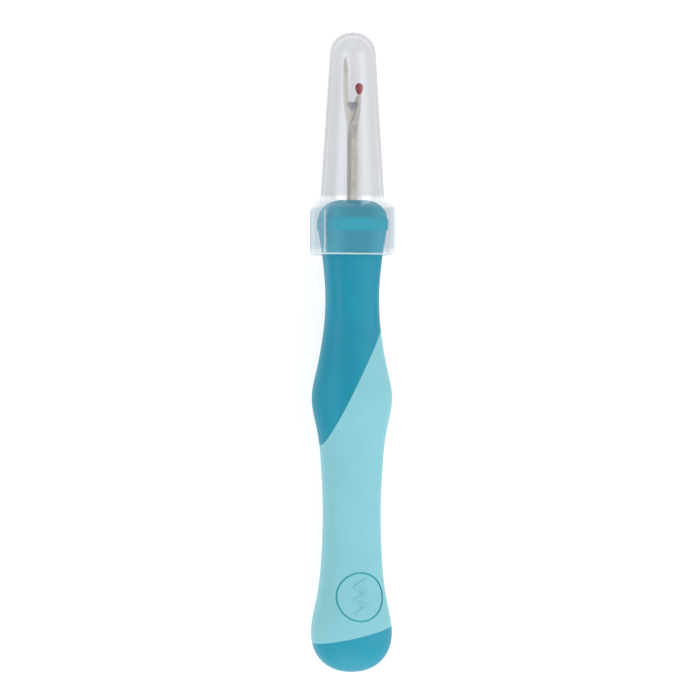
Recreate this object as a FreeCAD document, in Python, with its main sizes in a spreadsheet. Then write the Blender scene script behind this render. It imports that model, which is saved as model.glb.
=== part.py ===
import FreeCAD, Part
import math
import os
import re

import Sketcher

# A hand seam ripper lying on its back, in millimetres.
# +X runs from the butt of the handle to the needle point, +Z is the front face with the badge,
# Z = 0 is the table the capped tool rests on, and the tool's own axis is axis_height above it.

Vector = FreeCAD.Vector

DIMENSIONS = [
    # name, value, what it is
    ("overall_length", 150.3, "butt to top of cap"),
    ("axis_height", 7.0, "tool axis above the table"),
    # handle
    ("head_top_x", 35.7, "flat top of the head block the cap fits over"),
    ("head_shoulder", 4.5, "corner radius of the head block's top"),
    ("head_half_width", 7.45, ""),
    ("head_half_depth", 5.8, ""),
    ("head_squareness", 6.5, "superellipse exponent"),
    ("rib_x", 30.0, "middle of the snap rib"),
    ("rib_length", 3.4, "along the tool"),
    ("rib_chamfer", 0.5, "sloped lead on either side of the rib"),
    ("rib_clearance", 0.08, "rib to the cap's inner wall"),
    ("butt_swell_x", -65.8, "widest place of the butt"),
    ("butt_half_width", 9.5, ""),
    ("butt_half_depth", 6.95, ""),
    ("butt_roundness", 2.2, "exponent of the butt's end curve, 2 is an ellipse"),
    ("body_squareness", 2.45, "superellipse exponent of the handle's sections"),
    # soft grip
    ("grip_thickness", 1.8, ""),
    ("upper_cut_x", -7.0, "where the slanted upper edge crosses the tool axis"),
    ("upper_cut_slope", 1.94, "how far the upper edge climbs per unit across the tool"),
    ("lower_cut_x", -66.6, "where the curved lower edge crosses the tool axis"),
    ("lower_cut_radius", 116.0, ""),
    ("lower_cut_lean", 24.6, "lowest place of the lower edge's arc, to the side of the axis"),
    ("window_length", 8.0, "slots through the core that the grip fills"),
    ("window_width", 3.2, ""),
    ("window_pitch", 11.5, ""),
    ("window_first_x", -24.0, ""),
    ("badge_x", -57.2, "centre of the badge ring"),
    ("badge_y", -0.6, ""),
    ("badge_diameter", 11.6, "outside of the ring groove"),
    ("badge_groove_width", 0.35, ""),
    ("badge_groove_depth", 0.35, ""),
    ("stitch_height", 0.22, "raised zigzag of stitches on the badge"),
    ("stitch_length", 3.5, ""),
    ("stitch_width", 0.55, ""),
    ("stitch_pitch", 1.6, ""),
    ("stitch_angle", 60.0, "degrees off the tool axis"),
    # cap
    ("rim_x", 22.85, "open end of the cap's collar"),
    ("collar_width", 17.3, ""),
    ("collar_depth", 14.0, ""),
    ("collar_length", 13.75, ""),
    ("collar_shoulder", 4.2, "rounds the collar's closed end"),
    ("collar_edge_radius", 0.6, "rounds the collar's four long edges"),
    ("collar_inner_edge_radius", 0.3, ""),
    ("rim_radius", 0.3, "rounds the outside of the open end"),
    ("cap_wall", 0.9, ""),
    ("tube_root_x", 33.0, "tube section measured here, hidden in the collar"),
    ("tube_root_half_width", 7.76, ""),
    ("tube_root_half_depth", 6.5, ""),
    ("dome_base_x", 69.3, "tube ends and dome begins"),
    ("dome_base_radius", 5.47, ""),
    ("dome_crown_radius", 8.2, ""),
    ("dome_edge_radius", 5.23, "where the side would meet the crown, before rounding"),
    ("dome_corner_radius", 5.0, ""),
    ("dome_wall", 1.2, ""),
    ("gate_radius", 1.7, "dish left round the moulding gate"),
    ("gate_depth", 0.35, ""),
    ("gate_nub_radius", 0.45, ""),
    # blade
    ("tang_end_x", 15.0, ""),
    ("shank_width", 2.5, ""),
    ("shank_thickness", 2.2, ""),
    ("shank_chamfer", 0.6, ""),
    ("notch_depth", 0.35, "notches in the tang that lock it in the core"),
    ("notch_length", 1.6, ""),
    ("notch_pitch", 4.0, ""),
    ("fork_root_x", 53.4, "prongs part from the shank"),
    ("fork_thickness", 1.4, ""),
    ("fork_edge_chamfer", 0.25, "along the outside of both prongs"),
    ("fork_overlap", 2.0, "how far the fork's plate runs back into the shank"),
    ("fork_slope", 3.0, "length over which the shank thins down to the fork"),
    ("fork_long_radius", 39.6, "outward bow of the long prong's root"),
    ("fork_short_radius", 28.6, "outward bow of the short prong"),
    ("web_thickness", 0.6, "sunken web between the prongs"),
    ("web_root_x", 53.5, "where the web begins"),
    ("web_root_y", 0.5, ""),
    ("web_end_x", 62.5, "where the web's edge runs out on the long prong"),
    ("web_long_bow", 18.0, "radius of the web's edge beside the long prong"),
    ("web_short_bow", 12.5, "radius of the web's edge beside the short prong"),
    ("web_run_out", 0.1, "how far the web's edge ends inside the gap"),
    ("web_slope", 0.32, "width of the web's sloped sides"),
    ("web_point_slope", 0.8, "length of the slope at the web's point"),
    ("crotch_x", 58.7, "bottom of the cutting crotch"),
    ("crotch_y", 0.15, ""),
    ("crotch_radius", 0.8, ""),
    ("crotch_edge", 0.04, "half thickness left at the ground cutting edge"),
    ("crotch_grind", 0.12, "how far the ground bevel widens the crotch at the web's face"),
    ("crotch_grind_depth", 1.3, "how far the ground bevel reaches down the web"),
    ("crotch_grind_radius", 2.4, ""),
    ("crotch_grind_slack", 0.02, "how far the grinding starts inside the gap"),
    ("prong_bend_x", 63.1, "long prong runs straight from here"),
    ("prong_inner_radius", 19.2, "inward curve of the long prong above the crotch"),
    ("prong_end_half_width", 0.42, "short prong's end, under the ball"),
    ("needle_taper_x", 65.5, "long prong starts to thin"),
    ("needle_shoulder_x", 67.8, "long prong starts to narrow"),
    ("needle_x", 69.55, "point of the long prong"),
    ("needle_y", 1.79, ""),
    ("needle_blunt", 0.06, "half width and half thickness of the point"),
    ("prong_width", 0.88, ""),
    ("pin_x", 60.55, "short prong turns into the pin that carries the ball"),
    ("pin_root", 0.3, "pin's start inside the prong"),
    ("pin_radius", 0.24, ""),
    ("pin_length", 1.7, ""),
    ("ball_y", -1.56, ""),
    ("ball_base_x", 60.6, ""),
    ("ball_radius", 0.93, ""),
    ("ball_length", 2.7, ""),
    ("ball_neck_radius", 0.34, ""),
    ("ball_side_radius", 3.0, "slow curve from the ball's widest place to its neck"),
    ("ball_bore_clearance", 0.02, "")]

# Sections of the handle between head and butt: name, place along the tool, half width, half depth,
# squareness. Each is a swelling or a waist, or holds the slope of the flank beside one.
HANDLE_SECTIONS = [
    ("cap_mouth", 22.85, 6.9, 5.2, 3.4),
    ("neck", 12.0, 6.22, 4.95, 2.7),
    ("thumb_rest", 1.9, 7.18, 5.45, 2.45),
    ("bulge_front", -5.0, 8.54, 6.1, 2.45),
    ("bulge", -10.3, 9.48, 6.6, 2.45),
    ("bulge_back", -18.7, 8.12, 6.15, 2.45),
    ("palm", -26.3, 7.24, 5.7, 2.45),
    ("waist", -36.0, 6.8, 5.5, 2.45),
    ("hollow", -48.8, 7.12, 5.75, 2.45),
    ("badge_seat", -57.6, 8.15, 6.3, 2.45)]

JOIN_TOLERANCE = 1e-6
AROUND = 40        # places round each handle section
END_STEPS = 4      # sections in a rounded end
STITCHES = 5
WINDOWS = 3
NOTCHES = 3
NAMES = {name for name, value, note in DIMENSIONS}

doc = FreeCAD.newDocument("seam_ripper")
sheet = doc.addObject("Spreadsheet::Sheet", "Dimensions")


def fill_sheet():
    """Write every driving dimension into the sheet under its own name."""
    rows = list(DIMENSIONS)
    for name, along, half_width, half_depth, squareness in HANDLE_SECTIONS:
        rows.append((name + "_x", along, "place along the tool"))
        rows.append((name + "_half_width", half_width, ""))
        rows.append((name + "_half_depth", half_depth, ""))
        rows.append((name + "_squareness", squareness, "superellipse exponent"))
    for row, (name, value, note) in enumerate(rows, start=1):
        sheet.set("A%d" % row, name)
        sheet.set("B%d" % row, str(value))
        sheet.set("C%d" % row, note)
        sheet.setAlias("B%d" % row, name)
    doc.recompute()


def dim(name):
    """A driving dimension's value from the sheet."""
    return float(sheet.get(name))


# ---------------------------------------------------------------- handle shapes

def section_points(along, half_width, half_depth, squareness):
    """Points evenly turned round one superellipse section of the handle."""
    points = []
    for step in range(AROUND):
        turn = 2 * math.pi * step / AROUND
        across = math.cos(turn)
        up = math.sin(turn)
        reach = (abs(across) ** squareness + abs(up) ** squareness) ** (-1 / squareness)
        points.append(Vector(along, half_width * across * reach, half_depth * up * reach))
    return points


def head_sections(inset):
    """The head block's top corner, rounded, then its straight side."""
    sections = []
    shoulder = dim("head_shoulder")
    for step in range(END_STEPS):
        turn = math.pi / 2 * (1 - step / END_STEPS)
        drop = shoulder * (1 - math.cos(turn))
        sections.append(section_points(
            dim("head_top_x") - shoulder * (1 - math.sin(turn)),
            dim("head_half_width") - inset - drop,
            dim("head_half_depth") - inset - drop,
            dim("head_squareness")))
    sections.append(section_points(
        dim("rib_x"), dim("head_half_width") - inset, dim("head_half_depth") - inset,
        dim("head_squareness")))
    return sections


def middle_sections(inset):
    """The swellings and waists between the cap's mouth and the badge."""
    return [section_points(dim(name + "_x"),
                           dim(name + "_half_width") - inset,
                           dim(name + "_half_depth") - inset,
                           dim(name + "_squareness"))
            for name, *_ in HANDLE_SECTIONS]


def butt_sections(inset):
    """The butt's widest section and the round end behind it, up to its pole."""
    sections = []
    swell = dim("butt_swell_x")
    reach = dim("overall_length") / 2 + swell - inset
    power = 2 / dim("butt_roundness")
    for step in range(END_STEPS):
        turn = math.pi / 2 * step / END_STEPS
        size = math.cos(turn) ** power
        sections.append(section_points(
            swell - reach * math.sin(turn) ** power,
            (dim("butt_half_width") - inset) * size,
            (dim("butt_half_depth") - inset) * size,
            dim("body_squareness")))
    sections.append([Vector(swell - reach, 0, 0)] * AROUND)
    return sections


def far_side(row):
    """The same section with every point moved half a turn round."""
    half = len(row) // 2
    return row[half:] + row[:half]


def handle_blank(inset=0.0):
    """The whole handle as one smooth skin, or a core that lies inset below it."""
    rows = head_sections(inset) + middle_sections(inset) + butt_sections(inset)
    to_pole = len(rows)
    # run on past the pole and up the far side, so the butt closes without a peak
    rows += [far_side(rows[-2]), far_side(rows[-3])]
    places = [0.0]
    for first, second in zip(rows, rows[1:]):
        step = sum(a.distanceToPoint(b) for a, b in zip(first, second)) / AROUND
        places.append(places[-1] + step)
    pole_place = places[to_pole - 1]
    lengthwise = []
    for column in range(AROUND):
        curve = Part.BSplineCurve()
        curve.interpolate(
            Points=[row[column] for row in rows],
            Parameters=[place / pole_place for place in places])
        curve.segment(0, 1)
        lengthwise.append(curve)
    pattern = lengthwise[0]
    poles = []
    ring = None
    for row in range(1, pattern.NbPoles + 1):
        around = [curve.getPole(row) for curve in lengthwise]
        if row == pattern.NbPoles:
            poles.append([around[0]] * ring.NbPoles)
            continue
        ring = Part.BSplineCurve()
        ring.interpolate(
            Points=around, PeriodicFlag=True,
            Parameters=[step / AROUND for step in range(AROUND + 1)])
        poles.append([ring.getPole(place) for place in range(1, ring.NbPoles + 1)])
    skin = Part.BSplineSurface()
    skin.buildFromPolesMultsKnots(
        [list(column) for column in zip(*poles)],
        ring.getMultiplicities(), pattern.getMultiplicities(),
        ring.getKnots(), pattern.getKnots(), True, False, ring.Degree, pattern.Degree)
    side = skin.toShape()
    rim = [edge for edge in side.Edges
           if not edge.Degenerated and edge.BoundBox.XLength < 1e-4]
    top = Part.Face(Part.Wire(rim))
    solid = Part.makeSolid(Part.makeShell([side, top]))
    solid.fix(JOIN_TOLERANCE, JOIN_TOLERANCE, JOIN_TOLERANCE)
    return solid


def prism(wire, bottom, top):
    """A flat outline raised from bottom to top."""
    face = Part.Face(wire)
    face.translate(Vector(0, 0, bottom))
    return face.extrude(Vector(0, 0, top - bottom))


def grip_band():
    """The length of handle the grip covers: slanted edge above, curved edge below."""
    side = 2 * dim("butt_half_width")
    centre_x = dim("lower_cut_x") + dim("lower_cut_radius")
    lean = dim("lower_cut_lean")

    def upper(across):
        return Vector(dim("upper_cut_x") - dim("upper_cut_slope") * across, across, 0)

    def lower(across):
        sweep = math.sqrt(dim("lower_cut_radius") ** 2 - (across - lean) ** 2)
        return Vector(centre_x - sweep, across, 0)

    # the arc is lowest at its lean, so shift it to cross the tool axis at lower_cut_x
    shift = Vector(dim("lower_cut_x") - lower(0).x, 0, 0)
    left, middle, right = [lower(across) + shift for across in (side, 0, -side)]
    wire = Part.Wire([
        Part.makeLine(upper(-side), upper(side)),
        Part.makeLine(upper(side), left),
        Part.Arc(left, middle, right).toShape(),
        Part.makeLine(right, upper(-side))])
    return prism(wire, -side, side)


def windows():
    """Round-ended slots through the thin core, one behind another."""
    half_length = dim("window_length") / 2
    half_width = dim("window_width") / 2
    depth = 2 * dim("butt_half_depth")
    slots = []
    for number in range(WINDOWS):
        along = dim("window_first_x") - number * dim("window_pitch")
        slot = Part.makeBox(
            2 * (half_length - half_width), 2 * half_width, depth,
            Vector(along - half_length + half_width, -half_width, -depth / 2))
        for end in (-1, 1):
            centre = Vector(along + end * (half_length - half_width), 0, -depth / 2)
            slot = slot.fuse(Part.makeCylinder(half_width, depth, centre))
        slots.append(slot.removeSplitter())
    return Part.makeCompound(slots)


def badge_column(radius):
    """A round column that stands on the badge's centre."""
    return Part.makeCylinder(
        radius, 2 * dim("butt_half_depth"), Vector(dim("badge_x"), dim("badge_y"), 0))


def badge_groove():
    """The thin ring groove round the badge, to an even depth below the skin."""
    outside = dim("badge_diameter") / 2
    ring = badge_column(outside).cut(badge_column(outside - dim("badge_groove_width")))
    return ring.cut(handle_blank(dim("badge_groove_depth")))


def badge_stitches():
    """A raised row of slanted stitches that stands on the badge."""
    bars = []
    for number in range(STITCHES):
        bar = Part.makeBox(
            dim("stitch_length"), dim("stitch_width"), 2 * dim("butt_half_depth"),
            Vector(-dim("stitch_length") / 2, -dim("stitch_width") / 2, 0))
        slant = dim("stitch_angle") * (1 if number % 2 else -1)
        bar.rotate(Vector(0, 0, 0), Vector(0, 0, 1), slant)
        along = dim("badge_x") + (number - (STITCHES - 1) / 2) * dim("stitch_pitch")
        bar.translate(Vector(along, dim("badge_y"), 0))
        bars.append(bar)
    row = bars[0].multiFuse(bars[1:])
    return row.common(handle_blank(-dim("stitch_height"))).cut(handle_blank(0.05))


def rib_outline(along, reach):
    """Closed outline of the snap rib at one place, reach beyond the head's side."""
    points = section_points(
        dim("rib_x") + along, dim("head_half_width") + reach, dim("head_half_depth") + reach,
        dim("head_squareness"))
    curve = Part.BSplineCurve()
    curve.interpolate(Points=points, PeriodicFlag=True)
    return Part.Wire(curve.toShape())


def snap_rib():
    """The raised band on the head that the cap snaps over."""
    inner_width = dim("collar_width") / 2 - dim("cap_wall")
    inner_depth = dim("collar_depth") / 2 - dim("cap_wall")
    room = min(inner_width - dim("head_half_width"), inner_depth - dim("head_half_depth"))
    proud = room - dim("rib_clearance")
    sunk = -dim("rib_chamfer")
    half_length = dim("rib_length") / 2
    half_flat = half_length - dim("rib_chamfer")
    return Part.makeLoft([
        rib_outline(-half_length, sunk), rib_outline(-half_flat, proud),
        rib_outline(half_flat, proud), rib_outline(half_length, sunk)], True, True)


# ---------------------------------------------------------------- sketch helpers

def linked(expression):
    """Point every dimension's name in an expression at the sheet."""
    def to_sheet(word):
        return "Dimensions." + word.group() if word.group() in NAMES else word.group()
    return re.sub(r"[a-z_]+", to_sheet, expression)


def value_of(expression):
    """What an expression of dimension names comes to now."""
    return float(sheet.evalExpression(linked(expression)))


def sketch_on(body, plane, name, offset="0"):
    """A sketch on one of the body's own origin planes, moved along its normal."""
    sketch = body.newObject("Sketcher::SketchObject", name)
    support = [feature for feature in body.Origin.OriginFeatures if feature.Role == plane][0]
    sketch.AttachmentSupport = (support, [""])
    sketch.MapMode = "FlatFace"
    sketch.AttachmentOffset = FreeCAD.Placement(
        Vector(0, 0, value_of(offset)), FreeCAD.Rotation())
    sketch.setExpression("AttachmentOffset.Base.z", linked(offset))
    return sketch


def pin_point(sketch, line, end, across, up):
    """Tie one end of a line to the sheet, measured from the sketch's origin."""
    for kind, expression in (("DistanceX", across), ("DistanceY", up)):
        index = sketch.addConstraint(Sketcher.Constraint(
            kind, -1, 1, line, end, value_of(expression)))
        sketch.setExpression("Constraints[%d]" % index, linked(expression))


def arc_between(first, second, radius):
    """The short arc from first to second; a positive radius turns left, a negative one right."""
    chord = second - first
    middle = (first + second) / 2
    left = Vector(-chord.y, chord.x, 0).normalize()
    side = 1 if radius > 0 else -1
    rise = math.sqrt(max(radius ** 2 - (chord.Length / 2) ** 2, 0))
    centre = middle + left * (side * rise)
    start, stop = (first, second) if side > 0 else (second, first)
    angles = [math.atan2(end.y - centre.y, end.x - centre.x) for end in (start, stop)]
    return Part.ArcOfCircle(Part.Circle(centre, Vector(0, 0, 1), abs(radius)), *angles)


def outline(sketch, corners):
    """A closed outline through corners, each (across, up) or (across, up, radius of the arc that
    leaves it), all as expressions of the sheet's dimensions."""
    places = [Vector(value_of(corner[0]), value_of(corner[1]), 0) for corner in corners]
    pieces = []
    for corner, first, second in zip(corners, places, places[1:] + places[:1]):
        if len(corner) == 2:
            pieces.append((sketch.addGeometry(Part.LineSegment(first, second), False), 1, 2))
            continue
        radius = value_of(corner[2])
        arc = sketch.addGeometry(arc_between(first, second, radius), False)
        pieces.append((arc, 1, 2) if radius > 0 else (arc, 2, 1))
        index = sketch.addConstraint(Sketcher.Constraint("Radius", arc, abs(radius)))
        sketch.setExpression("Constraints[%d]" % index, "abs(" + linked(corner[2]) + ")")
    for (first, _, leave), (second, enter, _) in zip(pieces, pieces[1:] + pieces[:1]):
        sketch.addConstraint(Sketcher.Constraint("Coincident", first, leave, second, enter))
    for (piece, enter, _), corner in zip(pieces, corners):
        pin_point(sketch, piece, enter, corner[0], corner[1])


def rectangle(sketch, half_width, half_height):
    """A rectangle centred on the sketch's origin."""
    w, v = half_width, half_height
    outline(sketch, [("-(" + w + ")", "-(" + v + ")"), (w, "-(" + v + ")"),
                     (w, v), ("-(" + w + ")", v)])


def circle(sketch, across, up, radius):
    """A circle tied to the sheet."""
    geometry = sketch.addGeometry(Part.Circle(
        Vector(value_of(across), value_of(up), 0), Vector(0, 0, 1), value_of(radius)), False)
    pin_point(sketch, geometry, 3, across, up)
    index = sketch.addConstraint(Sketcher.Constraint("Radius", geometry, value_of(radius)))
    sketch.setExpression("Constraints[%d]" % index, linked(radius))


def ellipse(sketch, half_width, half_height):
    """An ellipse on the sketch's origin, its half sizes tied to the sheet."""
    w, v = value_of(half_width), value_of(half_height)
    geometry = sketch.addGeometry(
        Part.Ellipse(Vector(w, 0, 0), Vector(0, v, 0), Vector(0, 0, 0)), False)
    sketch.exposeInternalGeometry(geometry)
    major, minor = geometry + 1, geometry + 2
    sketch.addConstraint(Sketcher.Constraint("Coincident", geometry, 3, -1, 1))
    sketch.addConstraint(Sketcher.Constraint("PointOnObject", major, 1, -1))
    for line, expression in ((major, half_width), (minor, half_height)):
        index = sketch.addConstraint(Sketcher.Constraint(
            "Distance", line, 2 * value_of(expression)))
        sketch.setExpression("Constraints[%d]" % index, "2 * (" + linked(expression) + ")")


def new_body(label):
    """A body for one sub-part, its origin on the tool axis."""
    body = doc.addObject("PartDesign::Body", label)
    body.Label = label
    body.setExpression("Placement.Base.z", "Dimensions.axis_height")
    return body


def edges_where(feature, wanted):
    """Names of the edges of a feature that satisfy a test."""
    return ["Edge%d" % number for number, edge in enumerate(feature.Shape.Edges, start=1)
            if wanted(edge)]


def lies_at(along):
    """A test for edges that lie in the plane across the tool at one place."""
    def test(edge):
        box = edge.BoundBox
        return abs(box.XMin - along) < 1e-4 and abs(box.XMax - along) < 1e-4
    return test


def runs_along(edge):
    """Whether an edge is a straight line along the tool."""
    box = edge.BoundBox
    return box.YLength < 1e-4 and box.ZLength < 1e-4


def outside_fork(edge):
    """Whether an edge runs along the outside of a prong, on either face of the fork."""
    middle = edge.valueAt((edge.FirstParameter + edge.LastParameter) / 2)
    on_face = abs(abs(middle.z) - dim("fork_thickness") / 2) < 1e-4
    on_outside = not dim("ball_y") - 1e-4 < middle.y < dim("needle_y")
    return on_face and on_outside and dim("fork_root_x") < middle.x < dim("needle_shoulder_x")


def finish_edges(body, name, wanted, kind, size):
    """Put a Fillet's Radius or a Chamfer's Size on the edges that satisfy a test."""
    doc.recompute()
    feature = body.newObject("PartDesign::" + kind, name)
    base = body.Tip if body.Tip != feature else feature.BaseFeature
    feature.Base = (base, edges_where(base, wanted))
    feature.setExpression({"Fillet": "Radius", "Chamfer": "Size"}[kind], linked(size))
    doc.recompute()
    return feature


def pad(body, name, sketch, length, both_ways=False):
    """Raise a sketch along its normal, or half each way."""
    feature = body.newObject("PartDesign::Pad", name)
    feature.Profile = sketch
    feature.setExpression("Length", linked(length))
    feature.Midplane = both_ways
    doc.recompute()
    return feature


def pocket(body, name, sketch, length, both_ways=False, through=False):
    """Cut a sketch into the body against its normal, or half each way."""
    feature = body.newObject("PartDesign::Pocket", name)
    feature.Profile = sketch
    if through:
        feature.Type = "ThroughAll"
    else:
        feature.setExpression("Length", linked(length))
    feature.Midplane = both_ways
    doc.recompute()
    return feature


def loft(body, kind, name, first, second):
    """Join two sketches by straight lines, to add or to cut."""
    feature = body.newObject("PartDesign::" + kind, name)
    feature.Profile = first
    feature.Sections = [second]
    feature.Ruled = True
    doc.recompute()
    return feature


def revolve(body, kind, name, sketch):
    """Turn a sketch once round the tool's own direction, to add or to groove."""
    feature = body.newObject("PartDesign::" + kind, name)
    feature.Profile = sketch
    feature.ReferenceAxis = (sketch, ["H_Axis"])
    feature.Angle = 360
    doc.recompute()
    return feature


# ---------------------------------------------------------------- sub-parts

def make_blade():
    """Plated steel: octagonal shank with a notched tang, and the fork at its end."""
    body = new_body("blade")
    w, v, c = "shank_width / 2", "shank_thickness / 2", "shank_chamfer"
    fork = sketch_on(body, "XY_Plane", "ForkOutline")
    root, flat = "fork_root_x - fork_overlap", "(shank_width / 2 - shank_chamfer)"
    inner = "needle_y - prong_width / 2"
    outline(fork, [
        (root, "-" + flat),
        ("fork_root_x", "-" + flat),
        ("fork_root_x", "-" + w, "fork_short_radius"),
        ("pin_x", "ball_y - prong_end_half_width"),
        ("pin_x", "ball_y + prong_end_half_width"),
        ("crotch_x + crotch_radius", "crotch_y - crotch_radius", "-crotch_radius"),
        ("crotch_x", "crotch_y", "-crotch_radius"),
        ("crotch_x + crotch_radius", "crotch_y + crotch_radius", "-prong_inner_radius"),
        ("prong_bend_x", inner),
        ("needle_shoulder_x", inner),
        ("needle_x", "needle_y - needle_blunt"),
        ("needle_x", "needle_y + needle_blunt"),
        ("needle_shoulder_x", "needle_y + prong_width / 2"),
        ("prong_bend_x", "needle_y + prong_width / 2", "fork_long_radius"),
        ("fork_root_x", w),
        ("fork_root_x", flat),
        (root, flat)])
    pad(body, "Fork", fork, "fork_thickness", both_ways=True)
    finish_edges(body, "ForkEdges", outside_fork, "Chamfer", "fork_edge_chamfer")

    bar = sketch_on(body, "YZ_Plane", "ShankSection", "tang_end_x")
    outline(bar, [
        (w, c + " - " + v), (w, v + " - " + c), (w + " - " + c, v), (c + " - " + w, v),
        ("-" + w, v + " - " + c), ("-" + w, c + " - " + v), (c + " - " + w, "-" + v),
        (w + " - " + c, "-" + v)])
    pad(body, "Shank", bar, "fork_root_x - tang_end_x")

    slope = sketch_on(body, "XZ_Plane", "ShankSlope")
    for side in ("", "-"):
        outline(slope, [
            ("fork_root_x - fork_slope", side + v),
            ("fork_root_x", side + "fork_thickness / 2"),
            ("fork_root_x", side + v)])
    pocket(body, "ShankSlopes", slope, "", both_ways=True, through=True)

    web = web_outline(body, "WebEdge", "fork_thickness / 2", "0", "0")
    floor = web_outline(body, "WebFloor", "web_thickness / 2", "web_slope", "web_point_slope")
    mirrored(body, "WebBothSides", loft(body, "SubtractiveLoft", "Web", web, floor))

    edge = crotch_outline(
        body, "CrotchEdge", "crotch_edge", "-crotch_grind_slack", "-crotch_grind_slack",
        "crotch_radius - crotch_grind_slack")
    ground = crotch_outline(
        body, "CrotchGround", "web_thickness / 2", "crotch_grind", "crotch_grind_depth",
        "crotch_grind_radius")
    mirrored(body, "BevelBothSides", loft(body, "SubtractiveLoft", "Bevel", edge, ground))

    taper = sketch_on(body, "XZ_Plane", "NeedleTaper")
    for side in ("", "-"):
        outline(taper, [
            ("needle_taper_x", side + "fork_thickness / 2"),
            ("needle_x", side + "needle_blunt"),
            ("needle_x", side + "fork_thickness / 2")])
    pocket(body, "NeedlePoint", taper, "", both_ways=True, through=True)

    pin = sketch_on(body, "YZ_Plane", "PinSection", "pin_x - pin_root")
    circle(pin, "ball_y", "0", "pin_radius")
    pad(body, "Pin", pin, "pin_length + pin_root")

    notch = sketch_on(body, "XY_Plane", "NotchOutline")
    for side in ("", "-"):
        outline(notch, [
            ("tang_end_x + notch_pitch / 2", side + "shank_width"),
            ("tang_end_x + notch_pitch / 2", side + "(shank_width / 2 - notch_depth)"),
            ("tang_end_x + notch_pitch / 2 + notch_length",
             side + "(shank_width / 2 - notch_depth)"),
            ("tang_end_x + notch_pitch / 2 + notch_length", side + "shank_width")])
    cut = pocket(body, "Notches", notch, "", both_ways=True, through=True)
    repeated(body, "NotchRow", cut, "notch_pitch", NOTCHES)
    return body


def web_outline(body, name, height, inset, setback):
    """Outline of the web's recess at one height, inset on its sides and set back at its point."""
    sketch = sketch_on(body, "XY_Plane", name, height)
    outline(sketch, [
        ("web_root_x + " + setback, "web_root_y", "web_short_bow - " + inset),
        ("pin_x", "ball_y + prong_end_half_width + web_run_out + " + inset),
        ("web_end_x", "needle_y - prong_width / 2 - web_run_out - " + inset,
         "web_long_bow - " + inset)])
    return sketch


def crotch_outline(body, name, height, wider, deeper, radius):
    """Outline of the crotch at one height of its ground bevel, open ended past the prongs."""
    sketch = sketch_on(body, "XY_Plane", name, height)
    left = "crotch_y + crotch_radius + " + wider
    right = "crotch_y - crotch_radius - (" + wider + ")"
    outline(sketch, [
        ("web_end_x", left),
        ("crotch_x + crotch_radius", left, radius),
        ("crotch_x - (" + deeper + ")", "crotch_y", radius),
        ("crotch_x + crotch_radius", right),
        ("web_end_x", right)])
    return sketch


def mirrored(body, name, feature):
    """Repeat a feature on the other face of the blade."""
    copy = body.newObject("PartDesign::Mirrored", name)
    copy.Originals = [feature]
    plane = [item for item in body.Origin.OriginFeatures if item.Role == "XY_Plane"][0]
    copy.MirrorPlane = (plane, [""])
    body.Tip = copy
    doc.recompute()


def repeated(body, name, feature, pitch, count):
    """Repeat a feature along the tool."""
    row = body.newObject("PartDesign::LinearPattern", name)
    row.Originals = [feature]
    axis = [item for item in body.Origin.OriginFeatures if item.Role == "X_Axis"][0]
    row.Direction = (axis, [""])
    row.Occurrences = count
    row.Length = value_of(pitch) * (count - 1)
    row.setExpression("Length", "%s * %d" % (linked(pitch), count - 1))
    body.Tip = row
    doc.recompute()


def make_ball_tip():
    """The moulded red ball on the short prong, with the bore its pin sits in."""
    body = new_body("ball_tip")
    body.setExpression("Placement.Base.y", "Dimensions.ball_y")
    profile = sketch_on(body, "XY_Plane", "BallProfile")
    bore = "pin_radius + ball_bore_clearance"
    bore_end = "pin_x + pin_length + ball_bore_clearance"
    outline(profile, [
        (bore_end, "0"),
        ("ball_base_x + ball_length", "0", "ball_radius"),
        ("ball_base_x + ball_length - ball_radius", "ball_radius", "ball_side_radius"),
        ("ball_base_x", "ball_neck_radius"),
        ("ball_base_x", bore),
        (bore_end, bore)])
    revolve(body, "Revolution", "Ball", profile)
    return body


def make_cap():
    """The clear cover: its outside, less the hollow, less the dish round its moulding gate."""
    outside = new_body("cap_outside")
    cover_shape(outside, "Outer", "0", "0", "collar_edge_radius")
    finish_edges(outside, "OuterRim", lies_at(value_of("rim_x")), "Fillet", "rim_radius")
    gate = sketch_on(outside, "XY_Plane", "GateDish")
    floor = "overall_length / 2 - gate_depth"
    clear = "overall_length / 2 + gate_depth"
    outline(gate, [(floor, "gate_nub_radius"), (clear, "gate_nub_radius"),
                   (clear, "gate_radius"), (floor, "gate_radius")])
    revolve(outside, "Groove", "Gate", gate)
    hollow = new_body("cap_hollow")
    cover_shape(hollow, "Inner", "cap_wall", "dome_wall", "collar_inner_edge_radius")
    cap = doc.addObject("Part::Cut", "cap")
    cap.Base = outside
    cap.Tool = hollow
    doc.recompute()
    return cap


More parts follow.
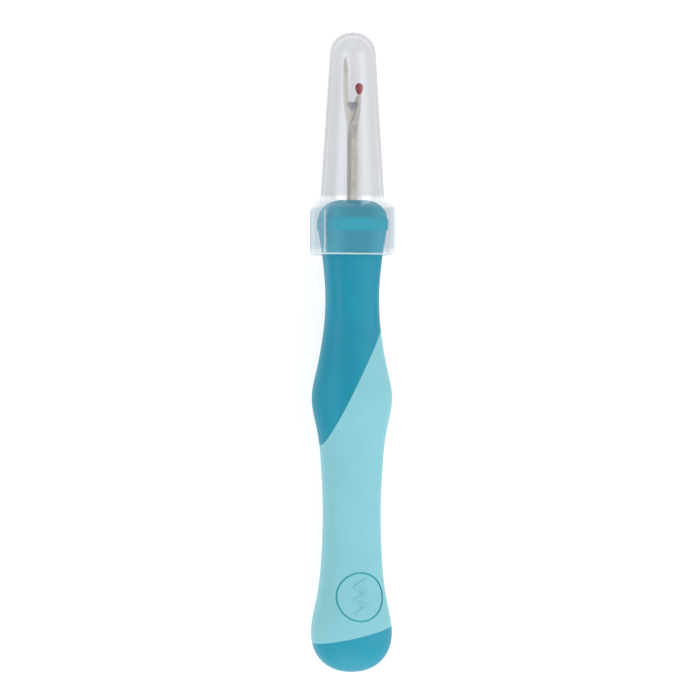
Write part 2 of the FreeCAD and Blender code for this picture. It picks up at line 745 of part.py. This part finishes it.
def cover_shape(body, side, wall, top_wall, edge_radius):
    """Boxy collar with rounded shoulders, tapered tube and dome, lying wall inside the outside."""
    collar = sketch_on(body, "YZ_Plane", side + "CollarSection", "rim_x")
    rectangle(collar, "collar_width / 2 - " + wall, "collar_depth / 2 - " + wall)
    pad(body, side + "Collar", collar, "collar_length - " + wall)
    finish_edges(body, side + "Shoulder", lies_at(value_of("rim_x + collar_length - " + wall)),
                 "Fillet", "collar_shoulder - " + wall)
    finish_edges(body, side + "LongEdges", runs_along, "Fillet", edge_radius)

    root = sketch_on(body, "YZ_Plane", side + "TubeRoot", "tube_root_x")
    ellipse(root, "tube_root_half_width - " + wall, "tube_root_half_depth - " + wall)
    end = sketch_on(body, "YZ_Plane", side + "TubeEnd", "dome_base_x")
    circle(end, "0", "0", "dome_base_radius - " + wall)
    tube = body.newObject("PartDesign::AdditiveLoft", side + "Tube")
    tube.Profile = root
    tube.Sections = [end]
    doc.recompute()

    profile = sketch_on(body, "XY_Plane", side + "DomeProfile")
    crown = "(dome_crown_radius - %s)" % top_wall
    edge = "(dome_edge_radius - %s)" % wall
    apex = "overall_length / 2 - " + top_wall
    edge_x = "%s - %s + sqrt(%s ^ 2 - %s ^ 2)" % (apex, crown, crown, edge)
    outline(profile, [
        ("dome_base_x", "0"),
        (apex, "0", crown),
        (edge_x, edge),
        ("dome_base_x", "dome_base_radius - " + wall)])
    revolve(body, "Revolution", side + "Dome", profile)
    finish_edges(body, side + "DomeCorner", lies_at(value_of(edge_x)), "Fillet",
                 "dome_corner_radius - " + wall)


def lowered(body):
    """A body's shape moved down so its tool axis lies on the origin."""
    shape = body.Shape.copy()
    shape.translate(Vector(0, 0, -dim("axis_height")))
    return shape


def make_feature(label, shape):
    """A sub-part that is one ready shape, placed with its axis over the table."""
    feature = doc.addObject("Part::Feature", label)
    feature.Label = label
    feature.Shape = shape
    feature.Placement = FreeCAD.Placement(Vector(0, 0, dim("axis_height")), FreeCAD.Rotation())
    feature.setExpression("Placement.Base.z", "Dimensions.axis_height")
    return feature


def make_handle(blade):
    """The hard core and the soft grip moulded round it, which share their inner surface."""
    blank = handle_blank()
    thin_core = handle_blank(dim("grip_thickness"))
    band = grip_band()
    slots = windows()
    sleeve = blank.common(band).cut(thin_core)
    core = blank.cut(sleeve).fuse(snap_rib()).cut(slots).cut(lowered(blade))
    grip = sleeve.fuse(thin_core.common(slots)).cut(badge_groove()).fuse(badge_stitches())
    return [make_feature("handle_core", one_solid(core)),
            make_feature("soft_grip", one_solid(grip))]


def one_solid(shape):
    """The single solid a shape holds."""
    tidy = shape.removeSplitter()
    if len(tidy.Solids) != 1:
        raise RuntimeError("expected one solid, found %d" % len(tidy.Solids))
    return tidy.Solids[0]


def save(parts):
    """Check the whole document, then write each sub-part to its own file."""
    doc.recompute()
    faulty = [item.Name for item in doc.Objects
              if "Invalid" in item.State or "Error" in item.State]
    if faulty:
        raise RuntimeError("these did not build: %s" % faulty)
    os.makedirs("parts", exist_ok=True)
    for part in parts:
        shape = part.Shape
        if shape.isNull() or not shape.isValid() or len(shape.Solids) != 1:
            raise RuntimeError("%s is not one sound solid" % part.Label)
        shape.exportStep("parts/%s.step" % part.Label)
        box = shape.optimalBoundingBox(False)
        print("%-12s volume %9.2f  x %7.2f %7.2f  y %6.2f %6.2f  z %6.2f %6.2f" % (
            part.Label, shape.Volume, box.XMin, box.XMax, box.YMin, box.YMax,
            box.ZMin, box.ZMax))


fill_sheet()
blade_body = make_blade()
save([blade_body, make_ball_tip(), make_cap()] + make_handle(blade_body))
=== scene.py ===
import math

import bmesh
import bpy
from mathutils import Matrix, Vector


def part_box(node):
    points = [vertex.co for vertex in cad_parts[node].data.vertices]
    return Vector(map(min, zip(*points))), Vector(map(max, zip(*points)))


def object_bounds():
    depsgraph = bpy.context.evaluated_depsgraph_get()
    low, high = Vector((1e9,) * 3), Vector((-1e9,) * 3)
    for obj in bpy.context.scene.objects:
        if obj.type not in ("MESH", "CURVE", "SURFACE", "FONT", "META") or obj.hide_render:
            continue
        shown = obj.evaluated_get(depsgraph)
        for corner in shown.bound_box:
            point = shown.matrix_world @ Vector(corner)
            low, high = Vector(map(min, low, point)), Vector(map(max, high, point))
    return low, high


# A seam ripper with a clear cover, on a pale studio floor. Metres; +X towards the blade's point,
# +Z up out of the front face of the handle, +Y towards the long prong's side.

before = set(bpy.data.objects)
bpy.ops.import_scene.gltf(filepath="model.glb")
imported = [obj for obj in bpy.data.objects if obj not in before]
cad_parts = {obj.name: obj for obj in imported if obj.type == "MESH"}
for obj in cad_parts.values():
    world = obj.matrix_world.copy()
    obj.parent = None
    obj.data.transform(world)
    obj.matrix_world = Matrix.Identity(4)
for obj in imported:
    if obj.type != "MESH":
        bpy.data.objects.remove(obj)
CAD_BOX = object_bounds()

MM = 0.001

# handle
BUTT_BEGINS = 17 * MM            # from the end of the butt, where its painted light starts
BUTT_PALE = 9 * MM
RIB_FROM_RIM = 7.15 * MM         # middle of the snap rib, inside the cover's open end
RIB_HALF_LENGTH = 1.7 * MM
RIB_LEAD = 0.3 * MM
HEAD_FADE = 0.2 * MM
BADGE_FROM_BUTT = 17.95 * MM
BADGE_SIDE = -0.6 * MM
BADGE_RADIUS = 5.62 * MM         # middle of the ring groove
GROOVE_REACH = 0.24 * MM
FRONT_HALF = 2 * MM              # above the tool's axis, clear of the back

# blade
FORK_LENGTH = 16 * MM
SHANK_FADE = 3 * MM
SHANK_FLAT = 0.65 * MM           # half the width of the shank's flat face
FLANK_FADE = 0.05 * MM
CROTCH_FROM_POINT = 11.3 * MM
CROTCH_SIDE = 0.15 * MM
GROUND_REACH = 2.2 * MM
GROUND_FADE = 0.8 * MM

# cover
COLLAR_LENGTH = 13.75 * MM
COLLAR_SIDE = 8.2 * MM           # where its side walls begin, out from the middle
EDGE_REACH = 0.5 * MM            # how far a turned edge or the rim shows into the wall
TUBE_FOOT_FROM_RIM = 10.15 * MM  # hidden in the collar
TUBE_HALF_WIDTH = 7.76 * MM      # at its foot
TUBE_HALF_DEPTH = 6.5 * MM
DOME_RADIUS = 5.47 * MM
DOME_HEIGHT = 5.85 * MM
COVER_WALL = 0.9 * MM
COVER_IOR = 1.5
FILM_TINT = (0.972, 0.975, 0.982, 1.0)
LEAST_MIRRORED = 0.04            # of the light that meets one face of the wall
MOST_MIRRORED = 0.1
HAZE = 0.01                      # shares lost at one face, on top of what is mirrored
FROST = 0.02
RUB = 0.01
# the tube's extra grey share: partly its own loss, partly painted shade for the floor's shadow
# under it
TUBE_LOSS_AND_SHADOW = 0.047
WALL_LOSS = 0.14
# painted highlight: the share of the collar's turned edges and rim that is painted white and rough
EDGE_HIGHLIGHT_SHARE = 0.4
# painted reflection: the share of the collar's side walls painted with the core's teal, standing in
# for the core seen through them
PAINTED_CORE_SHARE = 0.22

# studio
FLOOR_SIZE = 4.0
FLOOR_GAP = 0.2 * MM
FLOOR_GLOW = 0.75
SIDE_VIEW = 14.5                 # degrees the camera stands off the front face, towards +Y
ROLL = 0.14                      # degrees
LENS = 180.0
SENSOR = 36.0
VIEW_WIDTH = 164.57 * MM
AIM_ALONG = 0.5 * MM
AIM_ACROSS = -0.5 * MM
WORLD_HORIZON = 1.0
WORLD_OVERHEAD = 0.5
WORLD_DIM_SIDE = 0.45
LEFT_WATTS = 3.5
RIGHT_WATTS = 3.4
BUTT_WATTS = 3.4


# ---------------------------------------------------------------- shader maths

class Wire:
    """One output socket of a node tree, with arithmetic that adds Math nodes."""

    def __init__(self, nodes, socket):
        self.nodes = nodes
        self.socket = socket

    def math(self, operation, *values):
        return self.nodes.node(
            "ShaderNodeMath", {"operation": operation}, dict(enumerate((self,) + values)))

    def __add__(self, other):
        return self.math("ADD", other)

    def __radd__(self, other):
        return self.math("ADD", other)

    def __sub__(self, other):
        return self.math("SUBTRACT", other)

    def __rsub__(self, other):
        return self * -1.0 + other

    def __mul__(self, other):
        return self.math("MULTIPLY", other)

    def __rmul__(self, other):
        return self.math("MULTIPLY", other)

    def __truediv__(self, other):
        return self.math("DIVIDE", other)

    def __rtruediv__(self, other):
        return self ** -1.0 * other

    def __pow__(self, other):
        return self.math("POWER", other)

    def __abs__(self):
        return self.math("ABSOLUTE")

    def larger(self, other):
        return self.math("MAXIMUM", other)

    def smaller(self, other):
        return self.math("MINIMUM", other)

    def ramp(self, low, high, start=0.0, end=1.0):
        """Smoothly from start to end as this value goes from low to high."""
        return self.nodes.node(
            "ShaderNodeMapRange", {"interpolation_type": "SMOOTHSTEP"},
            {"Value": self, "From Min": low, "From Max": high, "To Min": start, "To Max": end})


class Nodes:
    """The node tree of a material or world, being built."""

    def __init__(self, owner):
        owner.use_nodes = True
        self.tree = owner.node_tree

    def node(self, kind, settings, inputs, output=0):
        """Add a node: its settings first, then the values or wires of its sockets."""
        made = self.tree.nodes.new(kind)
        for name, value in settings.items():
            setattr(made, name, value)
        for name, value in inputs.items():
            self.plug(made.inputs[name], value)
        return Wire(self, made.outputs[output])

    def plug(self, socket, value):
        if isinstance(value, Wire):
            self.tree.links.new(value.socket, socket)
        else:
            socket.default_value = value

    def parts(self, vector):
        """A vector split into its three numbers."""
        split = self.node("ShaderNodeSeparateXYZ", {}, {0: vector})
        return [Wire(self, output) for output in split.socket.node.outputs]


class Paint(Nodes):
    """A material being built, with the patterns its finishes share."""

    def __init__(self, name):
        self.material = bpy.data.materials.new(name)
        super().__init__(self.material)
        self.shader = self.tree.nodes["Principled BSDF"]
        self.output = self.tree.nodes["Material Output"]

    def place(self):
        """Where on the object a point is, in metres."""
        return self.node("ShaderNodeTexCoord", {}, {}, "Object")

    def where(self):
        """The place as three numbers: along the tool, across it and up."""
        return self.parts(self.place())

    def noise(self, scale, detail=2.0, roughness=0.5, along=1.0):
        """Noise with scale features per metre, and along times as many along the tool."""
        stretched = self.node(
            "ShaderNodeMapping", {"vector_type": "POINT"},
            {"Vector": self.place(), "Scale": (scale * along, scale, scale)})
        return self.node(
            "ShaderNodeTexNoise", {},
            {"Vector": stretched, "Scale": 1.0, "Detail": detail, "Roughness": roughness})

    def blend(self, factor, first, second):
        """A colour between two colours."""
        mixed = self.node("ShaderNodeMix", {"data_type": "RGBA"}, {0: factor})
        sockets = mixed.socket.node.inputs
        self.plug(sockets[6], first)
        self.plug(sockets[7], second)
        return Wire(self, mixed.socket.node.outputs[2])

    def bump(self, height, distance, strength):
        return self.node(
            "ShaderNodeBump", {},
            {"Height": height, "Distance": distance, "Strength": strength})

    def set(self, **values):
        """Set the shader's own sockets, names written with _ for a space."""
        for name, value in values.items():
            self.plug(self.shader.inputs[name.replace("_", " ")], value)


def squared(wire):
    return wire * wire


def srgb(red, green, blue):
    """A display colour of 0 to 255 as the linear colour a shader takes."""
    def linear(value):
        value /= 255
        return value / 12.92 if value <= 0.04045 else ((value + 0.055) / 1.055) ** 2.4
    return (linear(red), linear(green), linear(blue), 1.0)


# ---------------------------------------------------------------- finishes

def hard_teal_plastic():
    """Dark teal injection-moulded core: satin, with faint flow shading and fine texture.

    Painted light: the head block under the cover is painted paler to make up for the light the
    cover takes, its sides paler still as the collar's painted veil, the butt paler where its curve
    faces the light, and the snap rib deeper teal where the cover lies on it and its veil is
    missing."""
    paint = Paint("hard_teal_plastic")
    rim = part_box("cap")[0].x
    end = CAD_BOX[0].x
    along, across, _ = paint.where()
    head = along.ramp(rim - HEAD_FADE, rim + HEAD_FADE)
    painted_veil_sides = head * abs(across).ramp(1.5 * MM, 6 * MM)
    butt = along.ramp(end + BUTT_BEGINS, end + BUTT_PALE)
    from_rib = abs(along - (rim + RIB_FROM_RIM))
    rib = from_rib.ramp(RIB_HALF_LENGTH, RIB_HALF_LENGTH - RIB_LEAD)
    flow = paint.noise(180, 3.0, 0.55, along=1 / 3)
    grain = paint.noise(5200, 2.0, 0.6)
    orange_peel = paint.noise(420, 1.0)
    colour = paint.blend(flow.ramp(0.3, 0.7), srgb(12, 134, 159), srgb(20, 142, 168))
    # painted light: the head block under the cover is painted paler to make up for the light the
    # cover takes from it, and the butt is painted paler where its curve faces the light beyond it
    colour = paint.blend(head.larger(butt), colour, srgb(34, 148, 172))
    # painted light: the head block's sides painted paler still, a painted veil of the collar's side
    # walls over them
    colour = paint.blend(painted_veil_sides, colour, srgb(54, 166, 190))
    # painted light: the snap rib painted deeper teal where the cover's wall lies on it, as the
    # cover's veil is missing there
    colour = paint.blend(rib, colour, srgb(10, 169, 193))
    paint.set(
        Base_Color=colour,
        Roughness=0.42 + 0.1 * flow,
        Specular_IOR_Level=0.3,
        Normal=paint.bump(grain * 0.35 + orange_peel, 0.02 * MM, 0.5))
    return paint.material


def badge_groove(paint):
    """1 in the ring groove round the badge, 0 elsewhere."""
    low, high = CAD_BOX
    along, across, up = paint.where()
    out = (squared(along - (low.x + BADGE_FROM_BUTT)) + squared(across - BADGE_SIDE)) ** 0.5
    ring = abs(out - BADGE_RADIUS).ramp(GROOVE_REACH, 0.6 * GROOVE_REACH)
    middle = (low.z + high.z) / 2
    return ring * up.ramp(middle + FRONT_HALF, middle + 1.5 * FRONT_HALF)


def soft_aqua_grip():
    """Light aqua soft grip: matt spark-eroded texture with a little bloom, deeper in the groove."""
    paint = Paint("soft_aqua_grip")
    cloud = paint.noise(140, 3.0, 0.6)
    texture = paint.noise(3600, 3.0, 0.7)
    colour = paint.blend(cloud.ramp(0.3, 0.7), srgb(129, 194, 204), srgb(133, 197, 207))
    colour = paint.blend(badge_groove(paint), colour, srgb(70, 190, 200))
    paint.set(
        Base_Color=colour,
        Roughness=0.58 + 0.12 * texture,
        Specular_IOR_Level=0.35,
        Sheen_Weight=0.2,
        Sheen_Roughness=0.4,
        Normal=paint.bump(texture, 0.05 * MM, 0.6))
    return paint.material


def plated_steel():
    """Nickel-plated steel of the blade, with fine drawn lines along it.

    The crotch is ground darker. The shank's flank on the long prong's side is painted darker as
    painted shade, for the dimmer light on that side."""
    paint = Paint("plated_steel")
    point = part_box("blade")[1].x
    along, across, _ = paint.where()
    shank = along.ramp(point - FORK_LENGTH, point - FORK_LENGTH - SHANK_FADE)
    # painted shade: the mask of the shank's flank on the long prong's side, painted darker for the
    # dimmer light there
    flank = shank * across.ramp(SHANK_FLAT - FLANK_FADE, SHANK_FLAT + FLANK_FADE)
    from_crotch = abs(along - (point - CROTCH_FROM_POINT)) + 1.2 * abs(across - CROTCH_SIDE)
    ground = from_crotch.ramp(GROUND_REACH, GROUND_REACH - GROUND_FADE)
    drawn = paint.noise(9000, 3.0, 0.6, along=1 / 30)
    stain = paint.noise(500, 3.0)
    colour = paint.blend(stain.ramp(0.35, 0.7), srgb(234, 228, 219), srgb(223, 216, 207))
    # painted shade on the shank's flank
    colour = paint.blend(flank, colour, srgb(196, 192, 183))
    colour = paint.blend(ground, colour, srgb(184, 185, 186))
    paint.set(
        Base_Color=colour,
        Metallic=1.0,
        Roughness=0.3 + 0.16 * drawn + 0.1 * ground,
        Normal=paint.bump(drawn, 0.01 * MM, 0.5))
    return paint.material


def red_plastic():
    """Glossy red of the ball on the short prong."""
    paint = Paint("red_plastic")
    cloud = paint.noise(900)
    paint.set(
        Base_Color=paint.blend(cloud, srgb(153, 15, 26), srgb(176, 28, 38)),
        Roughness=0.22 + 0.1 * cloud)
    return paint.material


def collar_edges(paint):
    """1 where the cover's wall turns: on the collar's long edges and its rim."""
    low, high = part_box("cap")
    along, across, up = paint.where()
    to_side = high.y - abs(across)
    to_face = (high.z - low.z) / 2 - abs(up - (low.z + high.z) / 2)
    long_edge = to_side.larger(to_face).ramp(EDGE_REACH, 0.3 * EDGE_REACH)
    rim = (along - low.x).ramp(EDGE_REACH, 0.3 * EDGE_REACH)
    return rim.larger(long_edge)


def tube_wall(paint, facing):
    """Two masks of the tube and dome: their outside, and its rim, where the sight line stays
    inside the wall and meets only two of its faces."""
    low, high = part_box("cap")
    along, across, up = paint.where()
    foot = low.x + TUBE_FOOT_FROM_RIM
    dome = high.x - DOME_HEIGHT
    taper = ((along - foot) * (1 / (dome - foot))).smaller(1.0)
    half_width = TUBE_HALF_WIDTH + taper * (DOME_RADIUS - TUBE_HALF_WIDTH)
    half_depth = TUBE_HALF_DEPTH + taper * (DOME_RADIUS - TUBE_HALF_DEPTH)
    reach = (squared(across / half_width)
             + squared((up - (low.z + high.z) / 2) / half_depth)
             + squared((along - dome).larger(0.0) * (1 / DOME_HEIGHT)))
    outside = reach.ramp(0.81, 0.92)
    inner_share = 1.0 - COVER_WALL / half_width
    rim_begins = 1.0 - (1.0 - squared(inner_share)) ** 0.5
    return outside, outside * (facing - rim_begins).ramp(-0.04, 0.04)


def clear_plastic():
    """Clear moulded styrene of the cover: a thin film that mirrors by its angle to the eye.

    Its turned edges and rim are painted white as a painted highlight, its side walls are painted
    teal as a painted view of the core through them, and its tube is painted greyer, partly for its
    own loss and partly as painted shade for the floor's shadow under it. It is faintly rippled,
    frosted and rubbed."""
    paint = Paint("clear_plastic")
    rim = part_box("cap")[0].x
    shoulder = rim + COLLAR_LENGTH
    along, across, _ = paint.where()
    tube = along.ramp(shoulder - 0.5 * MM, shoulder + 0.5 * MM)
    collar = 1.0 - tube
    # painted highlight: the collar's turned edges and rim are drawn as a white, rough, unmirrored
    # band
    edge = collar_edges(paint)
    frosted = collar * abs(across).ramp(2 * MM, 7 * MM)
    side = collar * abs(across).ramp(COLLAR_SIDE, COLLAR_SIDE + 0.2 * MM)
    # painted reflection: where the collar's side walls show a painted view of the core
    painted_core_view = side * along.ramp(rim + 0.5 * MM, rim + 2 * MM) * (1.0 - edge)
    rub = paint.noise(400, 4.0, 0.7, along=6.25).ramp(0.6, 0.8)
    surface = paint.bump(paint.noise(260, along=0.15), 0.02 * MM, 0.4)
    fresnel = paint.node("ShaderNodeFresnel", {}, {"IOR": COVER_IOR, "Normal": surface})
    facing = paint.node("ShaderNodeLayerWeight", {}, {"Blend": 0.5}, "Facing")
    outside, wall = tube_wall(paint, facing)
    most = LEAST_MIRRORED + (MOST_MIRRORED - LEAST_MIRRORED) * outside.larger(collar)
    share = (fresnel.smaller(most) + tube * (TUBE_LOSS_AND_SHADOW + wall * WALL_LOSS)
             + edge * EDGE_HIGHLIGHT_SHARE + frosted * FROST + painted_core_view * PAINTED_CORE_SHARE + rub * RUB + HAZE)
    # the tube's grey: partly its own loss, partly painted shade for the floor's shadow under it
    colour = paint.blend(tube, srgb(242, 244, 246), srgb(152, 156, 164))
    # the core's teal painted onto the collar's side walls, a painted view of the core through them
    colour = paint.blend(painted_core_view, colour, srgb(70, 156, 180))
    paint.set(
        Base_Color=colour,
        Metallic=1.0 - edge,
        Roughness=0.05 + 0.05 * rub + 0.4 * edge + 0.2 * tube,
        Normal=surface)
    clear = paint.node("ShaderNodeBsdfTransparent", {}, {"Color": FILM_TINT})
    film = paint.node(
        "ShaderNodeMixShader", {}, {0: share, 1: clear, 2: Wire(paint, paint.shader.outputs[0])})
    paint.plug(paint.output.inputs["Surface"], film)
    return paint.material


def pale_floor():
    """Near-white backlit studio sheet with barely visible unevenness."""
    paint = Paint("pale_floor")
    paint.set(
        Base_Color=paint.blend(paint.noise(9), srgb(158, 158, 158), srgb(162, 162, 162)),
        Roughness=0.9,
        Specular_IOR_Level=0.2,
        Emission_Color=(1.0, 1.0, 1.0, 1.0),
        Emission_Strength=FLOOR_GLOW)
    return paint.material


# ---------------------------------------------------------------- pieces

def finish_node(name, material):
    """Give a CAD node its finish."""
    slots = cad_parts[name].data.materials
    slots.clear()
    slots.append(material)


def lay_floor():
    """A wide sheet just under the tool."""
    sheet = bmesh.new()
    bmesh.ops.create_grid(sheet, x_segments=1, y_segments=1, size=FLOOR_SIZE / 2)
    bmesh.ops.translate(sheet, verts=sheet.verts, vec=(0, 0, CAD_BOX[0].z - FLOOR_GAP))
    mesh = bpy.data.meshes.new("floor")
    sheet.to_mesh(mesh)
    sheet.free()
    mesh.materials.append(pale_floor())
    floor = bpy.data.objects.new("floor", mesh)
    bpy.context.scene.collection.objects.link(floor)


# ---------------------------------------------------------------- studio

def set_camera():
    """A long lens looking down on the front face, a little from the long prong's side."""
    turn = math.radians(SIDE_VIEW)
    back = Vector((0, math.sin(turn), math.cos(turn)))
    roll = Matrix.Rotation(math.radians(ROLL), 3, back)
    right = roll @ Vector((0, -math.cos(turn), math.sin(turn)))
    up = roll @ Vector((1, 0, 0))
    axis_height = (CAD_BOX[0].z + CAD_BOX[1].z) / 2
    aim = Vector((AIM_ALONG, 0, axis_height)) + right * AIM_ACROSS
    data = bpy.data.cameras.new("camera")
    data.lens = LENS
    data.sensor_width = SENSOR
    data.clip_start = 0.01
    data.clip_end = 20
    camera = bpy.data.objects.new("camera", data)
    bpy.context.scene.collection.objects.link(camera)
    camera.matrix_world = Matrix.Translation(aim + back * VIEW_WIDTH * LENS / SENSOR) @ Matrix(
        (right, up, back)).transposed().to_4x4()
    bpy.context.scene.camera = camera


def soft_box(name, place, size, watts):
    """A square soft light that faces the tool."""
    data = bpy.data.lights.new(name, "AREA")
    data.shape = "SQUARE"
    data.size = size
    data.energy = watts
    light = bpy.data.objects.new(name, data)
    bpy.context.scene.collection.objects.link(light)
    light.location = place
    light.rotation_euler = (-Vector(place)).to_track_quat("-Z", "Y").to_euler()


def surround():
    """Soft surroundings: bright near the horizon, dimmer overhead and on the +Y side."""
    world = bpy.data.worlds.new("studio")
    nodes = Nodes(world)
    direction = nodes.node("ShaderNodeTexCoord", {}, {}, "Generated")
    _, sideways, upwards = nodes.parts(direction)
    level = upwards.ramp(0.15, 0.85, WORLD_HORIZON, WORLD_OVERHEAD)
    dimming = sideways.ramp(0.2, 0.9, 1.0, WORLD_DIM_SIDE)
    background = nodes.tree.nodes["Background"]
    nodes.plug(background.inputs["Color"], (1.0, 1.0, 1.0, 1.0))
    nodes.plug(background.inputs["Strength"], level * dimming)
    bpy.context.scene.world = world


def light_studio():
    """Large soft boxes on both sides and beyond the butt."""
    surround()
    soft_box("left_box", (0.05, 0.7, 0.7), 0.7, LEFT_WATTS)
    soft_box("right_box", (0.0, -0.7, 0.8), 0.7, RIGHT_WATTS)
    soft_box("butt_box", (-0.9, 0.0, 0.45), 0.8, BUTT_WATTS)
    view = bpy.context.scene.view_settings
    view.view_transform = "Standard"
    view.look = "None"


finish_node("handle_core", hard_teal_plastic())
finish_node("soft_grip", soft_aqua_grip())
finish_node("blade", plated_steel())
finish_node("ball_tip", red_plastic())
finish_node("cap", clear_plastic())
lay_floor()
set_camera()
light_studio()
